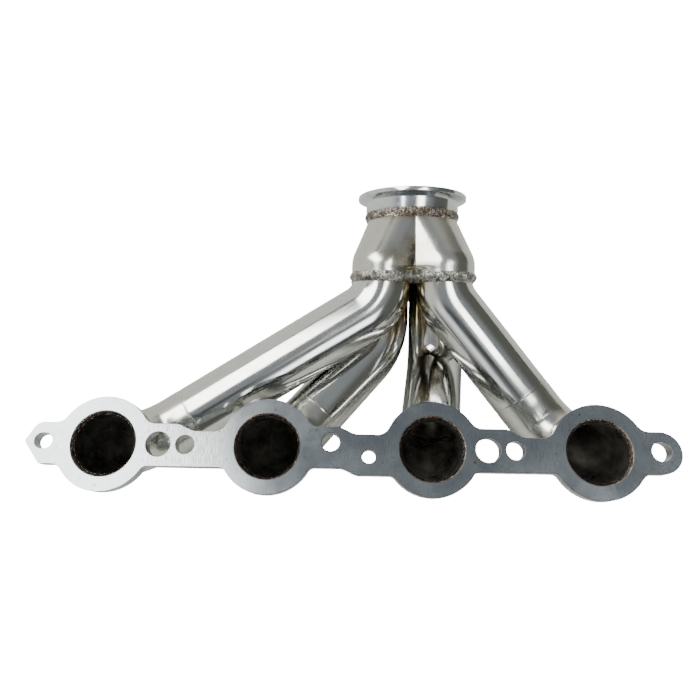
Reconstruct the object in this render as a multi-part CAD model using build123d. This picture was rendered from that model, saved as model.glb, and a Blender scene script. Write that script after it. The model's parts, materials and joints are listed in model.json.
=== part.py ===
from build123d import *
import os
from math import cos, radians, sin

# Four-into-one tubular exhaust manifold for one bank of a V8, in millimetres.
# Origin: centre of the head flange's mating face, midway between ports 2 and 3.
# +X runs along the row of ports, +Y towards the collector, +Z out of the mating face to the head.

PORT_PITCH = 111.76  # 4.40 in between neighbouring ports
FLANGE_THICKNESS = 9.525  # 3/8 in plate
FLANGE_EDGE_BREAK = 0.3
BOSS_RADIUS = 32.4
PORT_HOLE_RADIUS = 22.375

# Straight edges of the flange between the round bosses, and of its two end ears. Each outline
# runs into the bosses, and the webs step down part of the way along.
WEBS = [
    [(-160, 14.1), (-117, 14.1), (-107, 9.4), (-62, 9.4), (-62, -15), (-160, -15)],
    [(-50, 14.1), (-7, 14.1), (3.4, 9.1), (50, 9.1), (50, -18.4), (4.5, -18.4), (-4.9, -13.8), (-50, -13.8)],
    [(62, 14.3), (107, 14.3), (117.5, 8.7), (160, 8.7), (160, -14.9), (62, -14.9)],
]
LEFT_EAR = [(-160, 13.9), (-214, 13.9), (-221.8, 0.6), (-210, -14.6), (-160, -14.6)]
RIGHT_EAR = [(160, 14.2), (208.4, 14.2), (208.4, -14.2), (160, -14.2)]
RIGHT_EAR_END = (208.4, 0.0, 14.2)  # centre x, centre y, radius of its round end

# Where the flange's outline has corners to round, as ranges of X.
UPPER_STEPS = [(-118, -106), (-8, 4), (106, 118.5)]
LOWER_STEP = (-6, 6)
BOSS_CORNERS = [(-141, -135), (-89, -84), (-31, -22), (22, 31), (80, 90), (135, 145)]
EAR_CORNERS = [(-198, -194), (194, 199)]
UPPER_SIDE = (8, 15)  # the ranges of Y that hold the upper and the lower corners
LOWER_SIDE = (-19, -13)
STEP_ROUNDING = 11.0
UPPER_ROUNDING = 9.0
LOWER_ROUNDING = 5.0
LEFT_EAR_TOP_ROUNDING = 8.0
LEFT_EAR_TIP_ROUNDING = 2.5
LEFT_EAR_FOOT_ROUNDING = 1.5

TUBE_RADIUS = 22.225  # 1-3/4 in primary tube
TUBE_WALL = 1.5
TUBE_BORE_RADIUS = TUBE_RADIUS - TUBE_WALL
TUBE_RECESS = 3.0  # the tube's end lies this far behind the mating face
BUTT_GAP = 2.0  # root gap that each butt weld fills
BUTT_CROWN = 0.35

PORT_WELD_LEG = 5.0
PORT_WELD_BULGE = 0.62  # of the leg, along both faces, at the middle of the bead
PORT_WELD_OVERLAP = 0.3  # how far the bead's foot reaches under the tube's surface
SEAL_WELD_LIP = 1.0
SEAL_WELD_SINK = 0.4
SEAL_WELD_SLOPE = 0.5

COLLECTOR_CENTRE = (45.0, 138.5, -37.0)  # middle of the four sockets
COLLECTOR_LEAN = 18.0  # degrees, from +Y towards +Z
SOCKET_OFFSET = 22.45  # from the collector's axis to a socket's, each way
SOCKET_CLEARANCE = 0.125
SLEEVE_BORE_RADIUS = TUBE_RADIUS + SOCKET_CLEARANCE
LOBE_WALL = 1.5
SLEEVE_HEIGHT = 13.0
SLIP_DEPTH = 9.0  # how far a tube reaches into its sleeve
LOBE_TOP = 47.0
LOBE_TOP_OFFSET = 6.5
LOBE_TOP_RADIUS = 26.6
STAR_THICKNESS = 3.0

# Heights along the collector's axis, from the sockets' mouths, and radii of the beads there.
INLET_WELD_LOW = -4.5
INLET_WELD_CREST = -0.8
INLET_WELD_HIGH = 2.2
INLET_WELD_PROUD = 1.5  # above the sleeve
INLET_WELD_GAP = 43.0  # square middle between the tubes, which the torch can't reach
SEAM_BEAD_RADIUS = 0.9
SEAM_LOW = 2.4  # the seam begins just above the inlet weld
SEAM_HIGH = 43.0  # and runs under the outlet weld
OUTLET_WELD_LOW = 43.6
OUTLET_WELD_HIGH = 51.2
OUTLET_WELD_FOOT = 33.2  # radius at the low edge, inside the lobes' walls
OUTLET_WELD_CREST = 36.6

OUTLET_BORE_RADIUS = 31.75  # 2-1/2 in outlet, with the rim of a V-band clamp
NECK_RADIUS = 36.0
RIM_RADIUS = 42.2
NECK_TOP = 59.0
RIM_LOW = 61.4
RIM_TOP = 64.6
RIM_CHAMFER = 0.5

# Tubes 1 to 4, left to right. Each has its socket (left or right, front or rear), the depth of its
# lower corner behind the face, its straight run into the socket, its two bend radii, and the
# straight stub between the port bend and the butt weld.
LEFT, RIGHT, FRONT, REAR = -1, 1, -1, 1
TUBES = {
    1: {"socket": (LEFT, FRONT), "depth": 53.8, "run_in": 19.0, "bends": (38.0, 33.0), "stub": 15.0},
    2: {"socket": (LEFT, REAR), "depth": 48.5, "run_in": 50.0, "bends": (46.0, 50.0), "stub": 6.0},
    3: {"socket": (RIGHT, REAR), "depth": 32.0, "run_in": 66.0, "bends": (38.0, 36.0), "stub": 8.0},
    4: {"socket": (RIGHT, FRONT), "depth": 58.0, "run_in": 14.0, "bends": (38.0, 34.0), "stub": 17.0},
}

# Bolt and dowel holes through the flange: centre x, centre y, radius.
SMALL_HOLE_RADIUS = 6.35
BIG_HOLE_RADIUS = 8.45
BIG_HOLE_SHIFT = -18.3  # each big hole lies this far along X from its small one
MIDDLE_HOLES = [(-12.9, 3.5, 6.2), (13.1, -5.7, 4.7)]
RIGHT_EAR_HOLE = (208.9, 1.0, 6.6)
LEFT_SLOT = (-208.7, 1.0, 12.2, 10.4)  # centre x, centre y, length, width

collector = Plane(
    origin=COLLECTOR_CENTRE,
    x_dir=(1, 0, 0),
    z_dir=(0, cos(radians(COLLECTOR_LEAN)), sin(radians(COLLECTOR_LEAN))),
)


def port_x(number):
    return (number - 2.5) * PORT_PITCH


# --- head flange ---------------------------------------------------------------------------------


def filleted(outline, x_range, y_range, radius):
    """The outline with every corner in one window rounded."""
    low_x, high_x = x_range
    low_y, high_y = y_range
    corners = [v for v in outline.vertices() if low_x < v.X < high_x and low_y < v.Y < high_y]
    return fillet(corners, radius)


def filleted_corner(outline, corner, radius):
    """The outline with one known corner rounded."""
    x, y = corner
    return filleted(outline, (x - 1, x + 1), (y - 1, y + 1), radius)


def flange_outline():
    outline = Sketch() + [Pos(port_x(n), 0) * Circle(BOSS_RADIUS) for n in TUBES]
    for points in WEBS + [LEFT_EAR, RIGHT_EAR]:
        outline += make_face(Polyline(*points, close=True))
    end_x, end_y, end_radius = RIGHT_EAR_END
    return outline + Pos(end_x, end_y) * Circle(end_radius)


def round_corners(outline):
    """Rounds the outline: steps and upper boss corners widely, lower boss corners tightly."""
    for x_range in UPPER_STEPS:
        outline = filleted(outline, x_range, UPPER_SIDE, STEP_ROUNDING)
    outline = filleted(outline, LOWER_STEP, LOWER_SIDE, STEP_ROUNDING)
    for x_range in BOSS_CORNERS:
        outline = filleted(outline, x_range, UPPER_SIDE, UPPER_ROUNDING)
        outline = filleted(outline, x_range, LOWER_SIDE, LOWER_ROUNDING)
    for x_range in EAR_CORNERS:
        outline = filleted(outline, x_range, UPPER_SIDE, UPPER_ROUNDING)
        outline = filleted(outline, x_range, LOWER_SIDE, UPPER_ROUNDING)
    top, tip, foot = LEFT_EAR[1:4]
    outline = filleted_corner(outline, top, LEFT_EAR_TOP_ROUNDING)
    outline = filleted_corner(outline, tip, LEFT_EAR_TIP_ROUNDING)
    return filleted_corner(outline, foot, LEFT_EAR_FOOT_ROUNDING)


def make_flange():
    outline = round_corners(flange_outline())
    holes = [Pos(port_x(n), 0) * Circle(PORT_HOLE_RADIUS) for n in TUBES]
    for side in (-1, 1):
        holes.append(Pos(side * PORT_PITCH, 0) * Circle(SMALL_HOLE_RADIUS))
        holes.append(Pos(side * PORT_PITCH + BIG_HOLE_SHIFT, 0) * Circle(BIG_HOLE_RADIUS))
    holes += [Pos(x, y) * Circle(r) for x, y, r in MIDDLE_HOLES + [RIGHT_EAR_HOLE]]
    slot_x, slot_y, slot_length, slot_width = LEFT_SLOT
    holes.append(Pos(slot_x, slot_y) * SlotOverall(slot_length, slot_width))
    plate = Pos(0, 0, -FLANGE_THICKNESS) * extrude(outline - holes, FLANGE_THICKNESS)
    faces = plate.faces().sort_by(Axis.Z)
    return chamfer(faces[0].edges() + faces[-1].edges(), FLANGE_EDGE_BREAK)


# --- tubes ---------------------------------------------------------------------------------------


def tube_route(number):
    """Straight leg, port bend, straight runner, upper bend and straight run into the socket."""
    tube = TUBES[number]
    side, row = tube["socket"]
    socket_x, socket_y = side * SOCKET_OFFSET, row * SOCKET_OFFSET
    return FilletPolyline(
        (port_x(number), 0, -TUBE_RECESS),
        (port_x(number), 0, -tube["depth"]),
        collector.from_local_coords((socket_x, socket_y, -tube["run_in"])),
        collector.from_local_coords((socket_x, socket_y, SLIP_DEPTH)),
        radius=tube["bends"],
    )


def swept(path, radius):
    return sweep(Plane(origin=path @ 0, z_dir=path % 0) * Circle(radius), path=path)


def hollow(path):
    return swept(path, TUBE_RADIUS) - swept(path, TUBE_BORE_RADIUS)


def butt_weld(start, direction):
    """A ring that fills the root gap, flush in the bore and slightly crowned outside."""
    half = BUTT_GAP / 2
    low, high = (TUBE_RADIUS, 0, -half), (TUBE_RADIUS, 0, half)
    crown = ThreePointArc(low, (TUBE_RADIUS + BUTT_CROWN, 0, 0), high)
    rest = Polyline(high, (TUBE_BORE_RADIUS, 0, half), (TUBE_BORE_RADIUS, 0, -half), low)
    ring = revolve(make_face([crown, rest]), Axis.Z)
    return Plane(origin=start + direction * half, z_dir=direction).location * ring


def make_tube(number):
    """Returns the port bend, the runner and the butt weld between them."""
    leg, port_arc, straight, upper_arc, run_in = tube_route(number).edges()
    direction = straight % 0
    joint = (straight @ 0) + direction * TUBES[number]["stub"]
    runner_start = joint + direction * BUTT_GAP
    bend = hollow(Wire([leg, port_arc, Edge.make_line(straight @ 0, joint)]))
    runner = hollow(Wire([Edge.make_line(runner_start, straight @ 1), upper_arc, run_in]))
    return bend, runner, butt_weld(joint, direction)


# --- welds at the flange -------------------------------------------------------------------------


def make_port_weld(number):
    """Fillet bead round the tube on the flange's back face, up to the tube's own surface."""
    leg, port_arc = tube_route(number).edges()[:2]
    back = -FLANGE_THICKNESS
    low = back - PORT_WELD_LEG
    bulge = PORT_WELD_BULGE * PORT_WELD_LEG
    toe = (TUBE_RADIUS + PORT_WELD_LEG, 0, back)
    foot = (TUBE_RADIUS - PORT_WELD_OVERLAP, 0, low)
    bead = ThreePointArc(toe, (TUBE_RADIUS + bulge, 0, back - bulge), foot)
    rest = Polyline(foot, (TUBE_BORE_RADIUS, 0, low), (TUBE_BORE_RADIUS, 0, back), toe)
    ring = revolve(make_face([bead, rest]), Axis.Z)
    return Pos(port_x(number), 0, 0) * ring - swept(Wire([leg, port_arc]), TUBE_RADIUS)


def make_seal_weld(number):
    """Bead over the tube's end inside the port, just below the mating face."""
    outer = PORT_HOLE_RADIUS
    rim = (outer, 0, -SEAL_WELD_SINK)
    foot = (TUBE_BORE_RADIUS, 0, -TUBE_RECESS)
    bead = ThreePointArc(rim, (outer - SEAL_WELD_LIP, 0, -SEAL_WELD_SINK - SEAL_WELD_SLOPE), foot)
    rest = Polyline(foot, (outer, 0, -TUBE_RECESS), rim)
    return Pos(port_x(number), 0, 0) * revolve(make_face([bead, rest]), Axis.Z)


# --- collector -----------------------------------------------------------------------------------


def lobe_form(side, row, base_radius, top_radius):
    """A solid sleeve with a slanting body that leans in towards the collector's axis."""
    x, y = side * SOCKET_OFFSET, row * SOCKET_OFFSET
    top_x, top_y = side * LOBE_TOP_OFFSET, row * LOBE_TOP_OFFSET
    sleeve = Pos(x, y, 0) * extrude(Circle(base_radius), SLEEVE_HEIGHT)
    body = loft(
        [Pos(x, y, SLEEVE_HEIGHT) * Circle(base_radius), Pos(top_x, top_y, LOBE_TOP) * Circle(top_radius)],
        ruled=True,
    )
    return sleeve + body


def quadrant(side, row):
    """A block that takes in one quarter of the collector."""
    reach = 2 * (SOCKET_OFFSET + SLEEVE_BORE_RADIUS)
    return Pos(side * reach / 2, row * reach / 2, 0) * Box(reach, reach, 3 * reach)


def make_lobe(side, row):
    """One quarter of the collector: a thin formed shell cut at the planes it shares."""
    outer = lobe_form(side, row, SLEEVE_BORE_RADIUS + LOBE_WALL, LOBE_TOP_RADIUS)
    inner = lobe_form(side, row, SLEEVE_BORE_RADIUS, LOBE_TOP_RADIUS - LOBE_WALL)
    return (outer - inner) & quadrant(side, row)


def make_inlet_weld(number):
    """Bead round the outer side of a sleeve's mouth, on the tube's own surface where it enters."""
    side, row = TUBES[number]["socket"]
    sleeve = SLEEVE_BORE_RADIUS + LOBE_WALL
    low = (TUBE_RADIUS, 0, INLET_WELD_LOW)
    high = (sleeve, 0, INLET_WELD_HIGH)
    bore = TUBE_BORE_RADIUS
    bead = ThreePointArc(low, (sleeve + INLET_WELD_PROUD, 0, INLET_WELD_CREST), high)
    rest = Polyline(high, (sleeve, 0, 0), (bore, 0, 0), (bore, 0, INLET_WELD_LOW), low)
    ring = Pos(side * SOCKET_OFFSET, row * SOCKET_OFFSET, 0) * revolve(make_face([bead, rest]), Axis.Z)
    star_gap = Rot(0, 0, 45) * Box(INLET_WELD_GAP, INLET_WELD_GAP, 2 * SLEEVE_BORE_RADIUS)
    outer_side = (ring & quadrant(side, row)) - star_gap
    return collector.location * outer_side - swept(Wire(tube_route(number).edges()[3:]), TUBE_RADIUS)


def make_star_plate():
    """Closes the gap in the middle of the four sleeves."""
    plate = Pos(0, 0, STAR_THICKNESS / 2) * Box(2 * SOCKET_OFFSET, 2 * SOCKET_OFFSET, STAR_THICKNESS)
    for side in (LEFT, RIGHT):
        for row in (FRONT, REAR):
            sleeve = Circle(SLEEVE_BORE_RADIUS + LOBE_WALL)
            plate -= Pos(side * SOCKET_OFFSET, row * SOCKET_OFFSET, 0) * extrude(sleeve, SLEEVE_HEIGHT)
    return plate


def make_vband_flange():
    """Turned ring: a neck, a rim whose back tapers for the clamp, and a flat sealing face."""
    points = [
        (OUTLET_BORE_RADIUS, 0, LOBE_TOP),
        (NECK_RADIUS, 0, LOBE_TOP),
        (NECK_RADIUS, 0, NECK_TOP),
        (RIM_RADIUS, 0, RIM_LOW),
        (RIM_RADIUS, 0, RIM_TOP - RIM_CHAMFER),
        (RIM_RADIUS - RIM_CHAMFER, 0, RIM_TOP),
        (OUTLET_BORE_RADIUS, 0, RIM_TOP),
    ]
    return revolve(make_face(Polyline(*points, close=True)), Axis.Z)


def make_outlet_weld(lobe_solids):
    """Bead that fills the step between the lobes' tops and the outlet flange's neck."""
    low = (OUTLET_WELD_FOOT, 0, OUTLET_WELD_LOW)
    high = (NECK_RADIUS, 0, OUTLET_WELD_HIGH)
    bore = OUTLET_BORE_RADIUS
    bead = ThreePointArc(low, (OUTLET_WELD_CREST, 0, LOBE_TOP), high)
    rest = Polyline(high, (NECK_RADIUS, 0, LOBE_TOP), (bore, 0, LOBE_TOP), (bore, 0, OUTLET_WELD_LOW), low)
    ring = revolve(make_face([bead, rest]), Axis.Z)
    for solid in lobe_solids:
        ring -= solid
    return ring


def valley_reach(height):
    """How far from the collector's axis two neighbouring lobes meet, at one height."""
    share = max(0.0, (height - SLEEVE_HEIGHT) / (LOBE_TOP - SLEEVE_HEIGHT))
    base_radius = SLEEVE_BORE_RADIUS + LOBE_WALL
    offset = SOCKET_OFFSET + share * (LOBE_TOP_OFFSET - SOCKET_OFFSET)
    radius = base_radius + share * (LOBE_TOP_RADIUS - base_radius)
    return offset + (radius**2 - offset**2) ** 0.5


def make_seam_weld(angle, lobe_solids):
    """Thin fused bead along the valley between two lobes."""
    heights = [SLEEVE_HEIGHT + share * (SEAM_HIGH - SLEEVE_HEIGHT) for share in (0, 0.25, 0.5, 0.75, 1)]
    foot = (valley_reach(0), 0, SEAM_LOW)
    knee = (valley_reach(0), 0, SLEEVE_HEIGHT)
    lower = swept(Wire([Edge.make_line(foot, knee)]), SEAM_BEAD_RADIUS)
    upper = swept(Wire([Spline([(valley_reach(h), 0, h) for h in heights])]), SEAM_BEAD_RADIUS)
    bead = Rot(0, 0, angle) * (lower + upper)
    for solid in lobe_solids:
        bead -= solid
    return bead


# --- output --------------------------------------------------------------------------------------

os.makedirs("parts", exist_ok=True)


def write(name, shape):
    export_step(shape, f"parts/{name}.step")
    print(name, len(shape.solids()), round(shape.volume))


write("head_flange", make_flange())
for number in TUBES:
    port_bend, runner, weld = make_tube(number)
    write(f"port_bend_{number}", port_bend)
    write(f"runner_{number}", runner)
    write(f"butt_weld_{number}", weld)
    write(f"port_weld_{number}", make_port_weld(number))
    write(f"port_seal_weld_{number}", make_seal_weld(number))

lobe_forms = []
for number, tube in TUBES.items():
    side, row = tube["socket"]
    lobe_forms.append(lobe_form(side, row, SLEEVE_BORE_RADIUS + LOBE_WALL, LOBE_TOP_RADIUS))
    write(f"collector_lobe_{number}", collector.location * make_lobe(side, row))
    write(f"collector_inlet_weld_{number}", make_inlet_weld(number))
write("collector_star_plate", collector.location * make_star_plate())
write("vband_flange", collector.location * make_vband_flange())
write("outlet_weld", collector.location * make_outlet_weld(lobe_forms))
for name, angle in {"right": 0, "rear": 90, "left": 180, "front": 270}.items():
    write(f"collector_seam_weld_{name}", collector.location * make_seam_weld(angle, lobe_forms))
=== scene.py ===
import json
import math

import bmesh
import bpy
from mathutils import Matrix, Vector, noise


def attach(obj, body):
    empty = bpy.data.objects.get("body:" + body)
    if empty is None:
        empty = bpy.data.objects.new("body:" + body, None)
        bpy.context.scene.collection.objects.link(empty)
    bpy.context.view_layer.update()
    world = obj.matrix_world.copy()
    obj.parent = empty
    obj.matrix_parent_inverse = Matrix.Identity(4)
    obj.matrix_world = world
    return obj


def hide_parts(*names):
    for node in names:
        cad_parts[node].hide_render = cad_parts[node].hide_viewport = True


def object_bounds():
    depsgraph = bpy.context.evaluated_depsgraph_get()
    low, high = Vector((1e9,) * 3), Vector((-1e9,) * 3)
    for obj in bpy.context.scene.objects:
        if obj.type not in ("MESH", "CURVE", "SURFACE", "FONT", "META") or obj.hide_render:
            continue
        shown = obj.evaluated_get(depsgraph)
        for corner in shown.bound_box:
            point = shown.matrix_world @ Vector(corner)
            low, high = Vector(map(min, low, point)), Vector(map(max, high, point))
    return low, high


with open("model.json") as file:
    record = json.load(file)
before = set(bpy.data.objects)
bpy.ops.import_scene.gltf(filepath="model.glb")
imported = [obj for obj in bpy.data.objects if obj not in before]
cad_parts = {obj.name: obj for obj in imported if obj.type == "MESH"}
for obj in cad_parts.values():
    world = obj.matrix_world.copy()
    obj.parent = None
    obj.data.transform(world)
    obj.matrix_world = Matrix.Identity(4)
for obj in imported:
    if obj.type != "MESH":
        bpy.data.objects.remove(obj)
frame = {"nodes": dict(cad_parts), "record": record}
cad_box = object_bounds()
record = frame["record"]
mounts = {mount["name"]: mount for mount in record["mounts"]}

# --- Driving dimensions ----------------------------------------------------------------------------

MM = 0.001  # in metres, the scene's unit
PORT_PITCH = mounts["stud_pair"]["dims"]["spacing_x_mm"] * MM / 2
FLANGE_THICKNESS = 9.525 * MM
PORT_HOLE_RADIUS = 22.375 * MM
TUBE_RADIUS = 22.225 * MM
TUBE_BORE = 20.725 * MM
TUBE_RECESS = 3.0 * MM
BUTT_GAP = 2.0 * MM
PORT_WELD_LEG = 5.0 * MM

COLLECTOR_CENTRE = Vector((45.0, 138.5, -37.0)) * MM
SOCKET_OFFSET = 22.45 * MM
SLEEVE_BORE = 22.35 * MM
LOBE_WALL = 1.5 * MM
SLEEVE_RADIUS = SLEEVE_BORE + LOBE_WALL
SLEEVE_HEIGHT = 13.0 * MM
SLIP_DEPTH = 9.0 * MM
LOBE_TOP = 47.0 * MM
LOBE_TOP_OFFSET = 6.5 * MM
LOBE_TOP_RADIUS = 26.6 * MM

INLET_WELD_LOW = -5.0 * MM
INLET_WELD_HIGH = 3.0 * MM
OUTLET_WELD_LOW = 43.6 * MM
OUTLET_WELD_HIGH = 51.2 * MM

OUTLET_BORE = mounts["outlet_bore"]["dims"]["r_mm"] * MM
RIM_RADIUS = mounts["outlet_rim"]["dims"]["r_mm"] * MM
NECK_RADIUS = 36.0 * MM
NECK_TOP = 59.0 * MM
RIM_LOW = 61.4 * MM
RIM_TOP = 64.6 * MM

# Per tube, in millimetres: its socket (left or right, front or rear), the depth of the lower corner behind
# the face, the straight run into the socket, the two bend radii, and the stub up to the butt weld.
LEFT, RIGHT, FRONT, REAR = -1, 1, -1, 1
TUBES = {
    1: {"socket": (LEFT, FRONT), "depth": 53.8, "run_in": 19.0, "bends": (38.0, 33.0), "stub": 15.0},
    2: {"socket": (LEFT, REAR), "depth": 48.5, "run_in": 50.0, "bends": (46.0, 50.0), "stub": 6.0},
    3: {"socket": (RIGHT, REAR), "depth": 32.0, "run_in": 66.0, "bends": (38.0, 36.0), "stub": 8.0},
    4: {"socket": (RIGHT, FRONT), "depth": 58.0, "run_in": 14.0, "bends": (38.0, 34.0), "stub": 17.0},
}

BODY = "root"
TURN = 2 * math.pi

# The collector's own frame: x to the right, y to the rear, z out of the outlet.
collector_axis = Vector(mounts["outlet_bore"]["axis"]).normalized()
collector_rear = collector_axis.cross(Vector((1, 0, 0)))
collector_frame = Matrix((Vector((1, 0, 0)), collector_rear, collector_axis)).transposed().to_4x4()
collector_frame.translation = COLLECTOR_CENTRE


def in_collector(x, y, z):
    return collector_frame @ Vector((x, y, z))


def port_x(number):
    return (number - 2.5) * PORT_PITCH


def arch(share):
    """Rises from nought at 0 to 1 halfway and falls back to nought at 1."""
    return max(0.0, math.sin(math.pi * share))


def smooth(value, low, high):
    """Rises smoothly from 0 at low to 1 at high."""
    share = min(1.0, max(0.0, (value - low) / (high - low)))
    return share * share * (3 - 2 * share)


# --- Shader node helpers ---------------------------------------------------------------------------


class Nodes:
    """A thin layer over one node tree: each call adds a node and returns its output socket."""

    def __init__(self, tree):
        self.tree = tree

    def set(self, socket, value):
        if isinstance(value, bpy.types.NodeSocket):
            self.tree.links.new(value, socket)
        elif socket.type == "RGBA":
            socket.default_value = (*value, 1.0)
        else:
            socket.default_value = value

    def add(self, kind, inputs=None, output=0, **settings):
        node = self.tree.nodes.new(kind)
        for name, value in settings.items():
            setattr(node, name, value)
        for key, value in (inputs or {}).items():
            self.set(node.inputs[key], value)
        return node.outputs[output]

    def math(self, operation, first, second=0.0, clamp=False):
        return self.add("ShaderNodeMath", {0: first, 1: second}, operation=operation, use_clamp=clamp)

    def dot(self, vector, direction):
        return self.add(
            "ShaderNodeVectorMath", {0: vector, 1: tuple(direction)}, output=1, operation="DOT_PRODUCT"
        )

    def scaled(self, vector, factors):
        return self.add("ShaderNodeVectorMath", {0: vector, 1: factors}, operation="MULTIPLY")

    def ramp(self, value, low, high, start=0.0, end=1.0):
        """Maps low..high smoothly to start..end."""
        inputs = {"Value": value, "From Min": low, "From Max": high, "To Min": start, "To Max": end}
        return self.add("ShaderNodeMapRange", inputs, interpolation_type="SMOOTHSTEP")

    def mix(self, factor, first, second):
        node = self.tree.nodes.new("ShaderNodeMix")
        node.data_type = "RGBA"
        for name, value in (("Factor", factor), ("A", first), ("B", second)):
            self.set([s for s in node.inputs if s.name == name and s.enabled][0], value)
        return [s for s in node.outputs if s.enabled][0]

    def noise(self, vector, scale, detail=2.0, roughness=0.5):
        inputs = {"Vector": vector, "Scale": scale, "Detail": detail, "Roughness": roughness}
        return self.add("ShaderNodeTexNoise", inputs)

    def bump(self, height, strength, distance, normal=None):
        inputs = {"Height": height, "Strength": strength, "Distance": distance}
        if normal is not None:
            inputs["Normal"] = normal
        return self.add("ShaderNodeBump", inputs)


# --- World, floor and camera -----------------------------------------------------------------------

# The studio: where its lit panels and dark gaps stand, in degrees from straight up towards +X and +Y,
# then roll, width, height, edge softness and light.
PANEL = (11.5, 11.5, 11.1)
STUDIO = [
    (-36, 38, 37, 60, 8, 0.05, (0.25, 0.26, 0.25)),
    (-31, 13, 32, 22, 44, 0.04, PANEL),
    (17, -11, 39, 23, 9, 0.04, PANEL),
    (4, -25, 0, 9, 7, 0.03, (0.85, 0.88, 0.88)),
    (22, -46, 0, 20, 18, 0.06, (5.5, 5.8, 6.0)),
    (-33, -44, -20, 26, 14, 0.10, (1.7, 1.8, 1.85)),
    (-14, -34, 10, 26, 10, 0.06, (0.06, 0.066, 0.07)),
    (8, -32, 0, 16, 6, 0.05, (0.22, 0.23, 0.24)),
    (35, -62, 20, 30, 10, 0.06, (0.06, 0.066, 0.07)),
    (-50, -56, -20, 30, 8, 0.06, (0.10, 0.105, 0.11)),
]
CEILING = (0.34, 0.365, 0.385)
BRIGHT_WALL = (1.0, 0.99, 0.93)
DIM_WALL = (0.15, 0.155, 0.135)
SWEEP_LIGHT = 16.0  # the white sweep behind and below, as the camera sees it
FLOOR_GAP = 0.2 * MM
FLOOR_REACH = 6.0


def studio_patch(nodes, direction, x, y, roll, width, height, softness):
    """A mask for one rectangle of the studio, as seen from the object."""
    tilt = math.radians(math.hypot(x, y))
    heading = math.atan2(y, x)
    sideways = math.sin(tilt)
    centre = Vector((sideways * math.cos(heading), sideways * math.sin(heading), math.cos(tilt)))
    across = (Vector((1, 0, 0)) - centre.x * centre).normalized()
    across.rotate(Matrix.Rotation(math.radians(roll), 3, centre))
    along = centre.cross(across)
    depth = nodes.math("MAXIMUM", nodes.dot(direction, centre), 0.001)
    mask = nodes.ramp(depth, 0.05, 0.06)
    for side, extent in ((across, width), (along, height)):
        edge = math.tan(math.radians(extent / 2))
        reach = nodes.math("DIVIDE", nodes.math("ABSOLUTE", nodes.dot(direction, side)), depth)
        mask = nodes.math("MULTIPLY", mask, nodes.ramp(reach, edge - softness, edge + softness, 1.0, 0.0))
    return mask


def make_world():
    """A softbox studio: pale walls on one side, dimmer on the other, and lit panels overhead."""
    world = bpy.data.worlds.new("studio")
    bpy.context.scene.world = world
    world.use_nodes = True
    world.node_tree.nodes.clear()
    nodes = Nodes(world.node_tree)
    direction = nodes.add("ShaderNodeTexCoord", output="Generated")
    height = nodes.dot(direction, (0, 0, 1))
    side = nodes.ramp(nodes.dot(direction, (1, -0.6, 0)), -0.35, 0.35)
    wall = nodes.mix(side, BRIGHT_WALL, DIM_WALL)
    colour = nodes.mix(nodes.ramp(height, 0.55, 0.85), wall, CEILING)
    for x, y, roll, width, tall, softness, light in STUDIO:
        colour = nodes.mix(studio_patch(nodes, direction, x, y, roll, width, tall, softness), colour, light)
    room = nodes.add("ShaderNodeBackground", {"Color": colour})
    backdrop = nodes.add("ShaderNodeBackground", {"Color": (SWEEP_LIGHT,) * 3})
    seen = nodes.add("ShaderNodeLightPath", output="Is Camera Ray")
    surface = nodes.add("ShaderNodeMixShader", {0: seen, 1: room, 2: backdrop})
    output = world.node_tree.nodes.new("ShaderNodeOutputWorld")
    world.node_tree.links.new(surface, output.inputs["Surface"])


def make_floor():
    """A plain pale floor just under the lowest bends, overexposed as a white sweep."""
    z = cad_box[0][2] - FLOOR_GAP
    mesh = bpy.data.meshes.new("floor")
    corners = [(sx * FLOOR_REACH, sy * FLOOR_REACH, z) for sx, sy in ((-1, -1), (1, -1), (1, 1), (-1, 1))]
    mesh.from_pydata(corners, [], [(0, 1, 2, 3)])
    floor = bpy.data.objects.new("floor", mesh)
    bpy.context.scene.collection.objects.link(floor)
    material = bpy.data.materials.new("floor")
    material.use_nodes = True
    shader = material.node_tree.nodes["Principled BSDF"]
    shader.inputs["Base Color"].default_value = (0.60, 0.60, 0.56, 1)
    shader.inputs["Roughness"].default_value = 0.7
    nodes = Nodes(material.node_tree)
    glow = nodes.add("ShaderNodeEmission", {"Color": (1, 1, 1), "Strength": SWEEP_LIGHT})
    lit = nodes.add("ShaderNodeAddShader", {0: shader.outputs[0], 1: glow})
    seen = nodes.add("ShaderNodeLightPath", output="Is Camera Ray")
    surface = nodes.add("ShaderNodeMixShader", {0: seen, 1: shader.outputs[0], 2: lit})
    material.node_tree.links.new(surface, material.node_tree.nodes["Material Output"].inputs["Surface"])
    mesh.materials.append(material)


# The camera fitted to the photographed object.
CAMERA_DISTANCE = 451.45 * MM
CAMERA_TARGET = Vector((-1.09, 68.66, 0.0)) * MM
CAMERA_FORWARD = Vector((-0.02047, 0.29231, -0.95610))
CAMERA_ROLL = math.radians(2.96)
CAMERA_LENS = 32.91  # millimetres, on a 36 mm sensor


def make_camera():
    data = bpy.data.cameras.new("camera")
    data.sensor_width = 36.0
    data.lens = CAMERA_LENS
    data.clip_start = 0.01
    camera = bpy.data.objects.new("camera", data)
    bpy.context.scene.collection.objects.link(camera)
    turn = CAMERA_FORWARD.to_track_quat("-Z", "Y").to_matrix() @ Matrix.Rotation(-CAMERA_ROLL, 3, "Z")
    place = Matrix.Translation(CAMERA_TARGET - CAMERA_FORWARD * CAMERA_DISTANCE)
    camera.matrix_world = place @ turn.to_4x4()
    bpy.context.scene.camera = camera


# --- Materials -------------------------------------------------------------------------------------

RUST_SPOT = Vector((84.0, -8.5, 0.0)) * MM


def new_material(name):
    """Returns a metal material, its shader and its node helper."""
    material = bpy.data.materials.new(name)
    material.use_nodes = True
    shader = material.node_tree.nodes["Principled BSDF"]
    shader.inputs["Metallic"].default_value = 1.0
    return material, shader, Nodes(material.node_tree)


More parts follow.
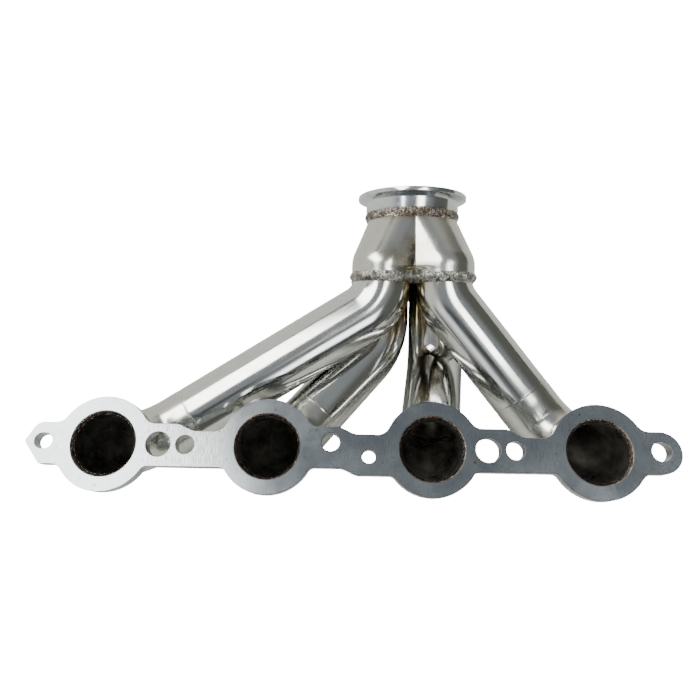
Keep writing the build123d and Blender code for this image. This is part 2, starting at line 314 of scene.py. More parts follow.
def skin_place(nodes):
    """Coordinates that follow a piece's skin, and its temper colour and painted shade, from the mesh's two
    maps.
    """
    around, travel = (
        nodes.add("ShaderNodeSeparateXYZ", {0: nodes.add("ShaderNodeUVMap", uv_map=name)}).node.outputs
        for name in ("around", "travel")
    )
    along = nodes.add("ShaderNodeCombineXYZ", {0: around[0], 1: around[1], 2: travel[0]})
    return along, travel[1]


def heat_and_shade_tinted(nodes, colour, position, heat_and_shade):
    """Lays straw, brown and dark colours over a metal: temper colour, and painted shade where the map runs
    high.
    """
    blotches = nodes.noise(position, 75.0, 3.0)
    heat_and_shade = nodes.math("MULTIPLY", heat_and_shade, nodes.ramp(blotches, 0.3, 0.65, 0.45, 1.25), clamp=True)
    straw = nodes.mix(nodes.ramp(heat_and_shade, 0.05, 0.45), colour, (0.45, 0.40, 0.29))
    brown = nodes.mix(nodes.ramp(heat_and_shade, 0.4, 0.75), straw, (0.20, 0.165, 0.12))
    # the darkest colour is reached only where the map carries painted shade: between the tubes, and low in
    # the left lobes' valleys
    return nodes.mix(nodes.ramp(heat_and_shade, 0.8, 1.0), brown, (0.075, 0.07, 0.07))


def polished_steel(name, colour, gloss, haze, waviness):
    """Buffed stainless: a near mirror with faint haze, polishing lines and rolling waves."""
    material, shader, nodes = new_material(name)
    position = nodes.add("ShaderNodeTexCoord", output="Object")
    along, heat_and_shade = skin_place(nodes)
    clouds = nodes.noise(position, 45.0, 4.0, 0.6)
    lines = nodes.noise(nodes.scaled(along, (900.0, 900.0, 60.0)), 1.0, 3.0, 0.6)
    spots = nodes.ramp(nodes.noise(position, 700.0, 2.0), 0.66, 0.74)
    tone = nodes.mix(nodes.ramp(clouds, 0.35, 0.7), colour, tuple(0.90 * c for c in colour))
    tone = nodes.mix(nodes.math("MULTIPLY", spots, 0.25), tone, (0.30, 0.28, 0.25))
    nodes.set(shader.inputs["Base Color"], heat_and_shade_tinted(nodes, tone, position, heat_and_shade))
    rough = nodes.ramp(clouds, 0.3, 0.72, gloss, haze)
    rough = nodes.math("ADD", rough, nodes.ramp(lines, 0.4, 0.75, 0.0, 0.05))
    nodes.set(shader.inputs["Roughness"], rough)
    wave = nodes.bump(nodes.noise(nodes.scaled(along, (60.0, 60.0, 22.0)), 1.0, 1.5), waviness, 0.4 * MM)
    nodes.set(shader.inputs["Normal"], nodes.bump(lines, 0.10, 0.02 * MM, wave))
    return material


def bore_steel():
    """The unpolished inside of the tubes, mottled, rough, and painted darker than bare steel as shade inside
    the ports and bores.
    """
    material, shader, nodes = new_material("bore_steel")
    position = nodes.add("ShaderNodeTexCoord", output="Object")
    clouds = nodes.noise(position, 60.0, 5.0, 0.65)
    # painted shade: the tone is kept dark so the ports and bores look shaded
    tone = nodes.mix(nodes.ramp(clouds, 0.3, 0.7), (0.27, 0.26, 0.245), (0.40, 0.385, 0.35))
    nodes.set(shader.inputs["Base Color"], tone)
    nodes.set(shader.inputs["Roughness"], nodes.ramp(clouds, 0.3, 0.7, 0.26, 0.42))
    nodes.set(shader.inputs["Normal"], nodes.bump(clouds, 0.3, 0.3 * MM))
    return material


def flange_steel():
    """Ground plate: dull blue-grey, brushed most between ports 1 and 2, scratched, pitted, one rust spot."""
    material, shader, nodes = new_material("flange_steel")
    position = nodes.add("ShaderNodeTexCoord", output="Object")
    along_ports = nodes.add("ShaderNodeSeparateXYZ", {"Vector": position})
    clouds = nodes.noise(position, 26.0, 5.0, 0.6)
    grain = nodes.noise(nodes.scaled(position, (2400.0, 150.0, 400.0)), 1.0, 3.0, 0.65)
    sparkle = nodes.noise(position, 1700.0, 2.0)
    pits = nodes.ramp(nodes.noise(position, 380.0, 2.0), 0.68, 0.73)
    brushed = nodes.math("ABSOLUTE", nodes.math("ADD", along_ports, PORT_PITCH))
    brushed = nodes.ramp(brushed, 0.16 * PORT_PITCH, 0.32 * PORT_PITCH, 1.0, 0.22)
    scratched = nodes.noise(nodes.scaled(position, (90.0, 2600.0, 400.0)), 1.0, 1.0)
    scratched = nodes.ramp(scratched, 0.70, 0.78)
    scratched = nodes.math("MULTIPLY", scratched, nodes.ramp(clouds, 0.48, 0.60))
    tone = nodes.mix(nodes.ramp(clouds, 0.3, 0.7), (0.25, 0.275, 0.295), (0.31, 0.335, 0.35))
    streaks = nodes.math("MULTIPLY", nodes.ramp(grain, 0.38, 0.66), brushed)
    tone = nodes.mix(streaks, tone, (0.42, 0.435, 0.45))
    furrows = nodes.math("MULTIPLY", nodes.ramp(grain, 0.36, 0.50, 0.60, 0.0), brushed)
    tone = nodes.mix(furrows, tone, (0.12, 0.125, 0.13))
    tone = nodes.mix(nodes.math("MULTIPLY", scratched, 0.6), tone, (0.20, 0.20, 0.20))
    tone = nodes.mix(nodes.math("MULTIPLY", pits, 0.75), tone, (0.10, 0.09, 0.08))
    rust = nodes.add("ShaderNodeVectorMath", {0: position, 1: RUST_SPOT}, output=1, operation="DISTANCE")
    rust = nodes.math("ADD", rust, nodes.math("MULTIPLY", nodes.noise(position, 900.0), 1.6 * MM))
    tone = nodes.mix(nodes.ramp(rust, 1.2 * MM, 2.4 * MM, 0.85, 0.0), tone, (0.26, 0.13, 0.06))
    nodes.set(shader.inputs["Base Color"], tone)
    rough = nodes.ramp(clouds, 0.25, 0.75, 0.13, 0.20)
    nodes.set(shader.inputs["Roughness"], nodes.math("ADD", rough, nodes.math("MULTIPLY", brushed, 0.05)))
    grit = nodes.bump(sparkle, 0.22, 0.05 * MM)
    depth = nodes.math("MULTIPLY", grain, brushed)
    nodes.set(shader.inputs["Normal"], nodes.bump(depth, 0.45, 0.05 * MM, grit))
    return material


def weld_metal(name, shades, coarse, strength):
    """Weld bead: frozen grains in silver, dark scale and brown, over the modelled ripples."""
    material, shader, nodes = new_material(name)
    position = nodes.add("ShaderNodeTexCoord", output="Object")
    grains = nodes.add("ShaderNodeTexVoronoi", {"Vector": position, "Scale": coarse}, output="Distance")
    shade = nodes.add("ShaderNodeTexVoronoi", {"Vector": position, "Scale": coarse}, output="Color")
    clouds = nodes.noise(position, 210.0, 4.0, 0.7)
    fine = nodes.noise(position, 1500.0, 3.0, 0.6)
    dark, bright, brown = shades
    picked = nodes.math("ADD", clouds, nodes.math("MULTIPLY", nodes.dot(shade, (1, 0, 0)), 0.28))
    tone = nodes.mix(nodes.ramp(picked, 0.48, 0.74), dark, bright)
    tint = nodes.math("ADD", nodes.noise(position, 120.0, 4.0, 0.7), nodes.dot(shade, (0, 0.22, 0)))
    tone = nodes.mix(nodes.ramp(tint, 0.54, 0.74, 0.0, 0.8), tone, brown)
    tone = nodes.mix(nodes.ramp(fine, 0.50, 0.66, 0.0, 0.75), tone, tuple(0.25 * c for c in dark))
    nodes.set(shader.inputs["Base Color"], tone)
    nodes.set(shader.inputs["Roughness"], nodes.ramp(fine, 0.3, 0.7, 0.12, 0.42))
    lump = nodes.bump(grains, strength, 0.6 * MM)
    nodes.set(shader.inputs["Normal"], nodes.bump(fine, 0.6, 0.15 * MM, lump))
    return material


def turned_steel():
    """The turned outlet flange: bright, with fine rings left by the lathe."""
    material, shader, nodes = new_material("turned_steel")
    turned, heat_and_shade = skin_place(nodes)
    position = nodes.add("ShaderNodeTexCoord", output="Object")
    rings = nodes.noise(nodes.scaled(turned, (6.0, 6.0, 5200.0)), 1.0, 2.0)
    clouds = nodes.noise(position, 90.0, 3.0)
    tone = nodes.mix(nodes.ramp(clouds, 0.35, 0.7), (0.62, 0.645, 0.68), (0.52, 0.545, 0.58))
    nodes.set(shader.inputs["Base Color"], heat_and_shade_tinted(nodes, tone, position, heat_and_shade))
    nodes.set(shader.inputs["Roughness"], nodes.ramp(rings, 0.35, 0.7, 0.09, 0.18))
    nodes.set(shader.inputs["Normal"], nodes.bump(rings, 0.10, 0.02 * MM))
    return material


def make_materials():
    warm, neutral = (0.58, 0.58, 0.54), (0.61, 0.615, 0.60)
    return {
        "runner": polished_steel("polished_tube", neutral, 0.09, 0.15, 0.35),
        "bend": polished_steel("satin_tube", warm, 0.17, 0.27, 0.7),
        "collector": polished_steel("collector_shell", warm, 0.16, 0.25, 0.5),
        "ground": polished_steel("weld_ground", warm, 0.16, 0.26, 0.8),
        "bore": bore_steel(),
        "flange": flange_steel(),
        "turned": turned_steel(),
        "weld": weld_metal(
            "weld_metal", ((0.11, 0.11, 0.105), (0.74, 0.74, 0.71), (0.27, 0.235, 0.19)), 1100.0, 0.8
        ),
        "tinted": weld_metal(
            "weld_tinted", ((0.06, 0.055, 0.05), (0.50, 0.48, 0.44), (0.17, 0.115, 0.075)), 1100.0, 0.8
        ),
        "seal": weld_metal(
            "port_seal", ((0.12, 0.10, 0.09), (0.46, 0.41, 0.38), (0.25, 0.15, 0.10)), 900.0, 0.5
        ),
    }


# --- Mesh helpers ----------------------------------------------------------------------------------


def add_map(mesh, name, pairs):
    """Stores two numbers for each point as a map that materials can read."""
    corners = [0] * len(mesh.loops)
    mesh.loops.foreach_get("vertex_index", corners)
    values = [value for corner in corners for value in pairs[corner]]
    mesh.uv_layers.new(name=name).data.foreach_set("uv", values)


def finish_mesh(name, points, faces, materials, face_materials=None, along=None, heat_and_shade=None, crease=35.0):
    """Builds one closed mesh, points its faces outwards, and adds it to the scene."""
    mesh = bpy.data.meshes.new(name)
    mesh.from_pydata([tuple(p) for p in points], [], faces)
    for material in materials:
        mesh.materials.append(material)
    if face_materials is not None:
        mesh.polygons.foreach_set("material_index", face_materials)
    form = bmesh.new()
    form.from_mesh(mesh)
    bmesh.ops.recalc_face_normals(form, faces=form.faces)
    form.to_mesh(mesh)
    form.free()
    if along is not None:
        add_map(mesh, "around", [(place[0], place[1]) for place in along])
        add_map(mesh, "travel", [(place[2], tint_and_shade) for place, tint_and_shade in zip(along, heat_and_shade)])
    mesh.shade_smooth()
    mesh.set_sharp_from_angle(angle=math.radians(crease))
    piece = bpy.data.objects.new(name, mesh)
    bpy.context.scene.collection.objects.link(piece)
    return piece


def install(piece, node):
    """Puts a finished piece in place of its CAD node."""
    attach(piece, BODY)
    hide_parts(node)


def ring_faces(rows, columns, closed=True):
    """Quads of a grid that wraps round its columns, and round its rows too if it is closed."""
    faces = []
    for row in range(rows if closed else rows - 1):
        low, high = row * columns, (row + 1) % rows * columns
        for column in range(columns):
            after = (column + 1) % columns
            faces.append((low + column, low + after, high + after, high + column))
    return faces


def strip_faces(rows, columns):
    """Quads and two end caps of a closed section carried along an open line."""
    faces = ring_faces(rows, columns, closed=False)
    faces.append(tuple(range(columns)))
    faces.append(tuple(range((rows - 1) * columns, rows * columns)))
    return faces


def wobble(x, y, z, size):
    """Smooth random height at one place, between -1 and 1, with features of one size."""
    return noise.noise(Vector((x, y, z)) / size)


# --- Tubes -----------------------------------------------------------------------------------------


class Route:
    """Straight runs and round bends through four corners, measured along the centre line."""

    def __init__(self, number):
        tube = TUBES[number]
        side, row = tube["socket"]
        socket = (side * SOCKET_OFFSET, row * SOCKET_OFFSET)
        corners = [
            Vector((port_x(number), 0, -TUBE_RECESS)),
            Vector((port_x(number), 0, -tube["depth"] * MM)),
            in_collector(*socket, -tube["run_in"] * MM),
            in_collector(*socket, SLIP_DEPTH),
        ]
        self.sections = []
        self.length = 0.0
        start = corners[0]
        for before, corner, after, radius in zip(corners, corners[1:], corners[2:], tube["bends"]):
            self.add_bend(start, before, corner, after, radius * MM)
            start = self.bend_end
        self.add_straight(start, corners[3])
        self.butt = self.sections[1]["end"] + tube["stub"] * MM

    def add_straight(self, start, stop):
        length = (stop - start).length
        section = {"begin": self.length, "end": self.length + length, "start": start}
        section["direction"] = (stop - start).normalized()
        self.sections.append(section)
        self.length += length

    def add_bend(self, start, before, corner, after, radius):
        come = (corner - before).normalized()
        leave = (after - corner).normalized()
        angle = come.angle(leave)
        reach = radius * math.tan(angle / 2)
        self.add_straight(start, corner - come * reach)
        inward = (leave - come * come.dot(leave)).normalized()
        section = {"begin": self.length, "end": self.length + radius * angle, "start": corner - come * reach}
        section.update(direction=come, inward=inward, radius=radius)
        self.sections.append(section)
        self.length += radius * angle
        self.bend_end = corner + leave * reach

    def at(self, distance):
        """The centre line's point and direction."""
        section = next(s for s in self.sections if distance <= s["end"] or s is self.sections[-1])
        run = distance - section["begin"]
        if "radius" not in section:
            return section["start"] + section["direction"] * run, section["direction"]
        radius, inward, come = section["radius"], section["inward"], section["direction"]
        angle = run / radius
        point = section["start"] + come * radius * math.sin(angle) + inward * radius * (1 - math.cos(angle))
        return point, (come * math.cos(angle) + inward * math.sin(angle)).normalized()

    def frames(self, low, high, step):
        """Evenly spaced centres with two cross axes, the first on the inside of the port bend."""
        count = max(2, round((high - low) / step) + 1)
        _, direction = self.at(0.0)
        across = self.sections[1]["inward"].copy()
        made = []
        walked = 0.0
        while walked < low:
            walked = min(walked + step, low)
            direction, across = self.turned(direction, across, walked)
        for index in range(count):
            distance = low + (high - low) * index / (count - 1)
            direction, across = self.turned(direction, across, distance)
            made.append((distance, self.at(distance)[0], across.copy(), direction.cross(across)))
        return made

    def turned(self, direction, across, distance):
        _, heading = self.at(distance)
        across = across.copy()
        across.rotate(direction.rotation_difference(heading))
        return heading, across


TUBE_SIDES = 112
TUBE_STEP = 1.6 * MM
RUNNER_WAVE = 0.045 * MM
BEND_WAVE = 0.09 * MM
WRINKLE = 0.06 * MM
WRINKLE_PITCH = 17 * MM
GROOVE = 0.15 * MM
SWAGE = 0.14 * MM
SWAGE_PLACE = 7 * MM  # ahead of the butt weld
LINE_SHIFT = 0.1  # gives each tube its own polishing lines


def runner_skin(number, route, distance, angle):
    """How far a polished runner's surface stands from a true tube."""
    around = (math.cos(angle), math.sin(angle))
    wave = wobble(around[0] + 10 * number, around[1], distance / (30 * MM), 1.0)
    return RUNNER_WAVE * wave


def bend_skin(number, route, distance, angle):
    """A port bend's surface: waves, wrinkles inside the bend, a swage, and a groove at the butt weld."""
    around = (math.cos(angle), math.sin(angle))
    height = BEND_WAVE * wobble(around[0] * 1.3 + 20 * number, around[1] * 1.3, distance / (14 * MM), 1.0)
    bend = route.sections[1]
    inside = max(0.0, math.cos(angle)) ** 2
    share = (distance - bend["begin"]) / (bend["end"] - bend["begin"])
    held = smooth(share, 0.25, 0.5) * (1 - smooth(share, 0.85, 1.05))
    height += WRINKLE * inside * held * math.sin(TURN * distance / WRINKLE_PITCH + number)
    to_weld = route.butt - distance
    height -= GROOVE * math.exp(-((to_weld / (2.5 * MM)) ** 2))
    swage = math.exp(-(((to_weld - SWAGE_PLACE) / (3.5 * MM)) ** 2))
    height += SWAGE * swage * (0.5 + 0.5 * math.cos(angle))
    return height


def to_axis(point):
    """Unit vector from a point straight towards the collector's axis."""
    away = point - COLLECTOR_CENTRE
    return (collector_axis * away.dot(collector_axis) - away).normalized()


def tube_heat_and_shade(route, distance, inward, tint_and_shade_end):
    """Temper colour in a narrow band at the butt weld; painted shade in a wide band on the sides that face
    the other tubes.
    """
    heat_and_shade = 0.10 * math.exp(-((distance - route.butt) / (4 * MM)) ** 2)
    before_weld = max(0.0, route.length - SLIP_DEPTH - 4 * MM - distance)
    heat_and_shade += tint_and_shade_end * 0.40 * math.exp(-before_weld / (6 * MM))
    # painted shade: the sides that face the other tubes are darkened towards black near the collector, where
    # shade falls between them
    heat_and_shade += 1.3 * tint_and_shade_end * smooth(inward, -0.2, 0.75) * math.exp(-before_weld / (27 * MM))
    return min(1.0, heat_and_shade)


def make_tube_piece(name, number, route, low, high, skin, outside, bore, tint_and_shade_end):
    """One length of tube: its outer skin, the bore, and the two cut ends."""
    frames = route.frames(low, high, TUBE_STEP)
    points, along, heat_and_shade = [], [], []
    for inner in (False, True):
        for distance, centre, across, upward in reversed(frames) if inner else frames:
            for side in range(TUBE_SIDES):
                angle = TURN * side / TUBE_SIDES
                radius = TUBE_BORE if inner else TUBE_RADIUS + skin(number, route, distance, angle)
                x, y = radius * math.cos(angle), radius * math.sin(angle)
                outward = across * x + upward * y
                points.append(centre + outward)
                along.append((x + LINE_SHIFT * number, y, distance))
                heat_and_shade.append(tube_heat_and_shade(route, distance, outward.dot(to_axis(centre)) / radius, tint_and_shade_end))
    rows = 2 * len(frames)
    faces = ring_faces(rows, TUBE_SIDES)
    inner_rows = range(len(frames), rows - 1)
    face_materials = [1 if row in inner_rows else 0 for row in range(rows) for _ in range(TUBE_SIDES)]
    return finish_mesh(name, points, faces, [outside, bore], face_materials, along, heat_and_shade)


BUTT_CROWN = 0.12 * MM
BUTT_STEPS = 8


def make_butt_weld(number, route, materials):
    """A ground-back ring bead, a little proud and uneven, with a fine groove at each toe."""
    frames = route.frames(route.butt, route.butt + BUTT_GAP, BUTT_GAP / BUTT_STEPS)
    points, along, heat_and_shade = [], [], []
    for inner in (False, True):
        for distance, centre, across, upward in reversed(frames) if inner else frames:
            share = (distance - route.butt) / BUTT_GAP
            crown = arch(share) ** 1.5
            for side in range(2 * TUBE_SIDES):
                angle = TURN * side / (2 * TUBE_SIDES)
                uneven = wobble(3 * math.cos(angle) + 9 * number, 3 * math.sin(angle), share, 1.0)
                radius = TUBE_RADIUS + crown * BUTT_CROWN * (1 + 0.8 * uneven) - 0.05 * MM
                radius = TUBE_BORE if inner else radius
                x, y = radius * math.cos(angle), radius * math.sin(angle)
                points.append(centre + across * x + upward * y)
                along.append((x, y, distance))
                heat_and_shade.append(0.10)
    faces = ring_faces(2 * len(frames), 2 * TUBE_SIDES)
    piece = finish_mesh(f"butt_bead_{number}", points, faces, [materials["ground"]], along=along, heat_and_shade=heat_and_shade)
    install(piece, f"butt_weld_{number}")


# --- Collector shape -------------------------------------------------------------------------------

SHOULDER = 5.0 * MM  # half the height over which a sleeve turns into its cone
FLANK_SLOPE = math.radians(17)  # of the flats beside each valley, which the CAD lobes don't have


def lobe_shape(height, wall=0.0):
    """One lobe's distance from the collector's axis, each way, and its radius, at one height."""
    share = max(0.0, (height - SLEEVE_HEIGHT) / (LOBE_TOP - SLEEVE_HEIGHT))
    if abs(height - SLEEVE_HEIGHT) < SHOULDER:
        rise = (height - SLEEVE_HEIGHT + SHOULDER) ** 2 / (4 * SHOULDER)
        share = rise / (LOBE_TOP - SLEEVE_HEIGHT)
    offset = SOCKET_OFFSET + share * (LOBE_TOP_OFFSET - SOCKET_OFFSET)
    radius = SLEEVE_RADIUS + share * (LOBE_TOP_RADIUS - SLEEVE_RADIUS)
    return offset, radius - wall


def lobe_outline(offset, radius, share, opened):
    """A lobe's outline in its own quarter: a bare arc at the mouth, opening into flats that run down
    to a shallow valley at each side."""
    if share > 0.5:
        y, x = lobe_outline(offset, radius, 1 - share, opened)
        return x, y
    reach = math.asin(min(0.999, offset / radius))
    angle = -reach + (math.pi / 2 + 2 * reach) * share
    bare = Vector((offset + radius * math.cos(angle), offset + radius * math.sin(angle)))
    slope = min(FLANK_SLOPE, reach)
    flat = (offset - radius * math.sin(slope)) / math.cos(slope)
    travel = share * (2 * flat + radius * (math.pi / 2 + 2 * slope))
    angle = max(0.0, travel - flat) / radius - slope
    dished = Vector((offset + radius * math.cos(angle), offset + radius * math.sin(angle)))
    if travel < flat:
        dished -= Vector((math.sin(slope), math.cos(slope))) * (flat - travel)
    return bare.lerp(dished, opened)


def valley_opened(height):
    """How far the flats have opened out of the bare arcs at one height above the mouth."""
    return smooth(height, 0.5 * MM, 7.0 * MM)


def collector_reach(angle, height):
    """Distance from the collector's axis to its outer surface, in one direction."""
    folded = angle % (math.pi / 2)
    offset, radius = lobe_shape(height)
    middle = offset * (math.cos(folded) + math.sin(folded))
    return middle + math.sqrt(middle**2 - 2 * offset**2 + radius**2)


def about_collector(radius, angle, height):
    return in_collector(radius * math.cos(angle), radius * math.sin(angle), height)


# --- Beads -----------------------------------------------------------------------------------------

RIPPLE_PITCH = 1.7 * MM
GRAIN_SIZE = 0.9 * MM
BEAD_COLUMNS = 12
OUTLET_CROWN = 1.05 * MM
INLET_CROWN = 1.6 * MM
FILLET_CROWN = 0.5 * MM
SEAL_DROP = 0.4 * MM  # from the flange's face to the seal bead's upper toe


def bead_height(place, travel, share, ripple, grain):
    """Frozen ripples along a bead and coarse grains over them, nought at both toes."""
    across = arch(share)
    bow = 0.35 * (1 - across)
    wave = abs(math.sin(math.pi * (travel / RIPPLE_PITCH + bow + 0.3 * wobble(*place, 6 * MM))))
    lumps = wobble(*place, GRAIN_SIZE) + 0.6 * wobble(*place, 2.6 * GRAIN_SIZE)
    return across * (ripple * (wave - 0.5) + grain * lumps)


def make_ring_bead(
    name, place_of, section, hidden, steps, travel_radius, ripple, grain, material, node
):
    """A closed ring bead. section(angle, share) gives its radius and height, hidden its inner corners."""
    points = []
    for step in range(steps):
        angle = TURN * step / steps
        for column in range(BEAD_COLUMNS):
            share = column / (BEAD_COLUMNS - 1)
            radius, height = section(angle, share)
            place = place_of(radius, angle, height)
            raised = bead_height(place, angle * travel_radius, share, ripple, grain)
            points.append(place_of(radius + raised, angle, height))
        for radius, height in hidden(angle):
            points.append(place_of(radius, angle, height))
    per_step = BEAD_COLUMNS + len(hidden(0.0))
    piece = finish_mesh(name, points, ring_faces(steps, per_step), [material], crease=60.0)
    install(piece, node)


def make_outlet_weld(materials):
    """The wide granular bead between the collector's top and the outlet flange's neck."""
    low, high = OUTLET_WELD_LOW, OUTLET_WELD_HIGH

    def section(angle, share):
        height = low + (high - low) * share
        foot = collector_reach(angle, low) - 0.25 * MM
        radius = foot + (NECK_RADIUS - 0.15 * MM - foot) * smooth(share, 0.0, 0.75)
        edge = 0.5 * MM * wobble(math.cos(angle), math.sin(angle), share, 0.15)
        return radius + OUTLET_CROWN * arch(share) ** 0.8, height + edge

    def hidden(angle):
        return [
            (NECK_RADIUS - 1.0 * MM, high),
            (OUTLET_BORE + 0.4 * MM, LOBE_TOP),
            (OUTLET_BORE + 0.2 * MM, low),
        ]

    make_ring_bead(
        "outlet_bead", about_collector, section, hidden, steps=900, travel_radius=NECK_RADIUS,
        ripple=0.28 * MM, grain=0.42 * MM, material=materials["tinted"], node="outlet_weld",
    )


def make_port_beads(number, materials):
    """The fillet bead behind the flange and the seal bead inside the port."""
    back = -FLANGE_THICKNESS
    leg = PORT_WELD_LEG

    def about_port(radius, angle, height):
        return Vector((port_x(number) + radius * math.cos(angle), radius * math.sin(angle), height))

    def fillet(angle, share):
        reach = TUBE_RADIUS + leg * (1 - share) - 0.3 * MM * share
        edge = 0.4 * MM * wobble(math.cos(angle) + number, math.sin(angle), 0.0, 0.2) * (1 - share)
        return reach + edge + FILLET_CROWN * arch(share), back - leg * share

    def fillet_hidden(angle):
        inside = TUBE_BORE + 0.3 * MM
        return [(inside, back - leg), (inside, back + 0.2 * MM), (TUBE_RADIUS, back)]

    def seal(angle, share):
        radius = PORT_HOLE_RADIUS + (TUBE_BORE - PORT_HOLE_RADIUS) * share
        drop = SEAL_DROP + (TUBE_RECESS - SEAL_DROP) * share**1.4
        return radius, -drop

    def seal_hidden(angle):
        return [(TUBE_BORE + 0.2 * MM, -TUBE_RECESS - 0.2 * MM), (PORT_HOLE_RADIUS, -TUBE_RECESS)]

    make_ring_bead(
        f"port_bead_{number}", about_port, fillet, fillet_hidden, steps=560, travel_radius=TUBE_RADIUS,
        ripple=0.30 * MM, grain=0.22 * MM, material=materials["weld"], node=f"port_weld_{number}",
    )
    make_ring_bead(
        f"seal_bead_{number}", about_port, seal, seal_hidden, steps=480, travel_radius=TUBE_RADIUS,
        ripple=0.10 * MM, grain=0.16 * MM, material=materials["seal"], node=f"port_seal_weld_{number}",
    )


def quadrant_arc(offset, radius):
    """First and last angle of a socket-centred circle within its own quarter of the collector."""
    reach = math.asin(min(0.999, offset / radius))
    return -reach, math.pi / 2 + reach


def make_inlet_weld(number, materials):
    """The bead round a sleeve's mouth, ending where it meets its neighbours' beads."""
    side, row = TUBES[number]["socket"]
    low, high = INLET_WELD_LOW, INLET_WELD_HIGH
    steps = 640

    def about_socket(step, radius, height):
        """A place at one step round the lobe's own quarter, and its angle round the socket."""
        first, last = quadrant_arc(SOCKET_OFFSET, radius)
        angle = first + (last - first) * step / (steps - 1)
        x, y = SOCKET_OFFSET + radius * math.cos(angle), SOCKET_OFFSET + radius * math.sin(angle)
        return in_collector(side * x, row * y, height), angle

    points = []
    for step in range(steps):
        for column in range(BEAD_COLUMNS):
            share = column / (BEAD_COLUMNS - 1)
            height = low + (high - low) * share
            radius = TUBE_RADIUS - 0.1 * MM + (SLEEVE_RADIUS - TUBE_RADIUS) * smooth(share, 0.05, 0.7)
            radius += INLET_CROWN * arch(share) ** 0.8
            place, angle = about_socket(step, radius, height)
            height += 0.45 * MM * wobble(place.x, place.y, place.z, 7 * MM)
            radius += bead_height(place, angle * SLEEVE_RADIUS, share, 0.30 * MM, 0.50 * MM)
            points.append(about_socket(step, radius, height)[0])
        points.append(about_socket(step, SLEEVE_RADIUS - 0.6 * MM, 0.6 * MM)[0])
        points.append(about_socket(step, TUBE_RADIUS - 0.6 * MM, low + 0.3 * MM)[0])
    faces = strip_faces(steps, BEAD_COLUMNS + 2)
    piece = finish_mesh(f"inlet_bead_{number}", points, faces, [materials["weld"]], crease=60.0)
    install(piece, f"collector_inlet_weld_{number}")


# --- Collector -------------------------------------------------------------------------------------

LOBE_ROWS = 84
LOBE_COLUMNS = 150
LOBE_WAVE = 0.06 * MM
SEAM_WIDTH = 1.6 * MM
SEAM_PROUD = 0.12 * MM
SEAM_ROOT = 1.0 * MM
SEAM_LOW = 2.0 * MM
SEAM_HIGH = 44.0 * MM


def lobe_point(number, height, share, wall):
    """One point of a lobe, and its coordinates along the shell."""
    side, row = TUBES[number]["socket"]
    offset, radius = lobe_shape(height, wall)
    skin = LOBE_WAVE * wobble(share * 4 + 5 * number, 0.0, height / (18 * MM), 0.8)
    skin *= arch(share) if wall == 0.0 else 0.0
    x, y = lobe_outline(offset, radius + skin, share, valley_opened(height) if wall == 0.0 else 0.0)
    return in_collector(side * x, row * y, height), (x, y, height)


def lobe_heat_and_shade(number, height, share):
    """Straw and brown temper colour in the valleys and under the outlet bead; strongest low down on the left
    lobes, where it runs near black as painted shade.
    """
    # painted shade: the left lobes' valley edges are pushed towards black, standing in for the dark
    # reflection there; the right lobes keep a light straw tint
    strength = 1.15 if TUBES[number]["socket"][0] == LEFT else 0.40
    valley = math.exp(-min(share, 1 - share) / 0.15)
    low_down = math.exp(-((height - 14 * MM) / (15 * MM)) ** 2)
    top = math.exp(-max(0.0, LOBE_TOP - 3 * MM - height) / (3.0 * MM))
    return min(1.0, strength * valley * low_down + 0.42 * top)


def make_lobe(number, materials):
    """One formed quarter of the collector, as a thin closed shell."""
    points, along, heat_and_shade = [], [], []
    for wall in (0.0, LOBE_WALL):
        for line in range(LOBE_ROWS):
            height = LOBE_TOP * line / (LOBE_ROWS - 1)
            for column in range(LOBE_COLUMNS):
                share = column / (LOBE_COLUMNS - 1)
                point, flat = lobe_point(number, height, share, wall)
                points.append(point)
                along.append(flat)
                heat_and_shade.append(lobe_heat_and_shade(number, height, share))
    shift = LOBE_ROWS * LOBE_COLUMNS
    faces, face_materials = [], []
    for wall in (0, 1):
        for line in range(LOBE_ROWS - 1):
            for column in range(LOBE_COLUMNS - 1):
                low = wall * shift + line * LOBE_COLUMNS + column
                faces.append((low, low + 1, low + LOBE_COLUMNS + 1, low + LOBE_COLUMNS))
                face_materials.append(wall)
    border = list(range(LOBE_COLUMNS))
    border += [line * LOBE_COLUMNS + LOBE_COLUMNS - 1 for line in range(1, LOBE_ROWS)]
    border += [shift - 1 - column for column in range(1, LOBE_COLUMNS)]
    border += [line * LOBE_COLUMNS for line in range(LOBE_ROWS - 2, 0, -1)]
    for here, after in zip(border, border[1:] + border[:1]):
        faces.append((here, after, after + shift, here + shift))
        face_materials.append(0)
    skins = [materials["collector"], materials["bore"]]
    piece = finish_mesh(
        f"lobe_shell_{number}", points, faces, skins, face_materials, along, heat_and_shade, crease=50.0
    )
    install(piece, f"collector_lobe_{number}")


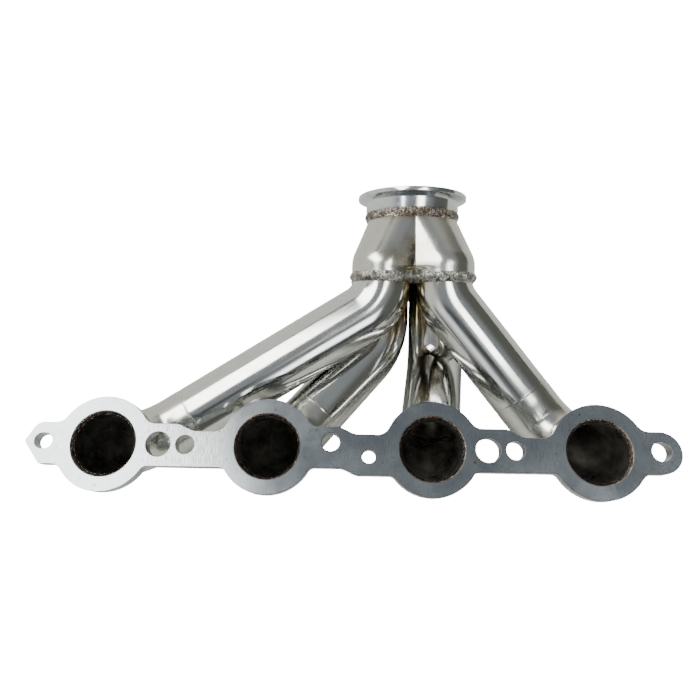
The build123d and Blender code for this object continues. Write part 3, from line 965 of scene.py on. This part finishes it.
def make_seam(name, angle, materials):
    """The ground seam at the bottom of one valley: a slim strip, barely proud of the two lobes."""
    rows, columns = 60, 9
    left_lobe, edge = 1, 0.02  # every seam takes a left lobe's edge colour: temper colour, and painted shade low down
    points, along, heat_and_shade = [], [], []
    for row in range(rows):
        height = SEAM_LOW + (SEAM_HIGH - SEAM_LOW) * row / (rows - 1)
        reach = lobe_outline(*lobe_shape(height), 0.0, valley_opened(height))[0]
        width = SEAM_WIDTH * (1 + 0.25 * wobble(height, 0.0, angle * MM, 5 * MM))
        section = []
        for column in range(columns):
            share = column / (columns - 1)
            sideways = width * (share - 0.5)
            section.append((sideways, reach + SEAM_PROUD * arch(share) + 0.25 * abs(sideways)))
        for corner in (0.5 * width, -0.5 * width):
            section.append((0.8 * corner, reach - SEAM_ROOT))
        for sideways, outward in section:
            x = outward * math.cos(angle) - sideways * math.sin(angle)
            y = outward * math.sin(angle) + sideways * math.cos(angle)
            points.append(in_collector(x, y, height))
            along.append((sideways, outward, height))
            heat_and_shade.append(lobe_heat_and_shade(left_lobe, height, edge))
    faces = strip_faces(rows, columns + 2)
    piece = finish_mesh(f"seam_bead_{name}", points, faces, [materials["ground"]], along=along, heat_and_shade=heat_and_shade)
    install(piece, f"collector_seam_weld_{name}")


def rounded_profile(corners, steps=6):
    """A closed outline with each corner rounded: corners are x, y, radius."""
    outline = []
    for index, (x, y, radius) in enumerate(corners):
        corner = Vector((x, y))
        before = Vector(corners[index - 1][:2]) - corner
        after = Vector(corners[(index + 1) % len(corners)][:2]) - corner
        half = before.angle(after) / 2
        reach = radius / math.tan(half)
        start = corner + before.normalized() * reach
        stop = corner + after.normalized() * reach
        middle = corner + (before.normalized() + after.normalized()).normalized() * radius / math.sin(half)
        for step in range(steps + 1):
            chord = start.lerp(stop, step / steps) - middle
            outline.append(middle + chord.normalized() * radius)
    return outline


def make_outlet_flange(materials):
    """The turned ring: neck, tapered back, rim and sealing face, every edge broken or filleted."""
    corners = [
        (OUTLET_BORE, LOBE_TOP, 0.3 * MM),
        (NECK_RADIUS, LOBE_TOP, 0.3 * MM),
        (NECK_RADIUS, NECK_TOP, 0.9 * MM),
        (RIM_RADIUS, RIM_LOW, 0.45 * MM),
        (RIM_RADIUS, RIM_TOP, 0.6 * MM),
        (OUTLET_BORE, RIM_TOP, 0.5 * MM),
    ]
    outline = rounded_profile(corners)
    steps = 256
    points, along, heat_and_shade = [], [], []
    travelled = 0.0
    lengths = [0.0]
    for here, after in zip(outline, outline[1:]):
        travelled += (after - here).length
        lengths.append(travelled)
    for step in range(steps):
        angle = TURN * step / steps
        for corner, length in zip(outline, lengths):
            points.append(about_collector(corner.x, angle, corner.y))
            along.append((math.cos(angle), math.sin(angle), length))
            heat_and_shade.append(0.30 * math.exp(-max(0.0, corner.y - 51 * MM) / (2.2 * MM)))
    faces = ring_faces(steps, len(outline))
    piece = finish_mesh(
        "outlet_ring", points, faces, [materials["turned"]], along=along, heat_and_shade=heat_and_shade, crease=30.0
    )
    install(piece, "vband_flange")


# --- Build -----------------------------------------------------------------------------------------


def dress(node, material):
    """Gives a CAD node that keeps its own shape its material."""
    slots = frame["nodes"][node].data.materials
    slots.clear()
    slots.append(material)


def build():
    materials = make_materials()
    for number in TUBES:
        route = Route(number)
        bend = make_tube_piece(
            f"port_tube_{number}", number, route, 0.0, route.butt, bend_skin, materials["bend"],
            materials["bore"], tint_and_shade_end=0.0,
        )
        install(bend, f"port_bend_{number}")
        runner = make_tube_piece(
            f"runner_tube_{number}", number, route, route.butt + BUTT_GAP, route.length, runner_skin,
            materials["runner"], materials["bore"], tint_and_shade_end=0.75,
        )
        install(runner, f"runner_{number}")
        make_butt_weld(number, route, materials)
        make_port_beads(number, materials)
        make_lobe(number, materials)
        make_inlet_weld(number, materials)
    make_outlet_flange(materials)
    make_outlet_weld(materials)
    dress("head_flange", materials["flange"])
    dress("collector_star_plate", materials["bend"])
    for quarter, name in enumerate(("right", "rear", "left", "front")):
        make_seam(name, quarter * TURN / 4, materials)


make_world()
make_floor()
make_camera()
build()
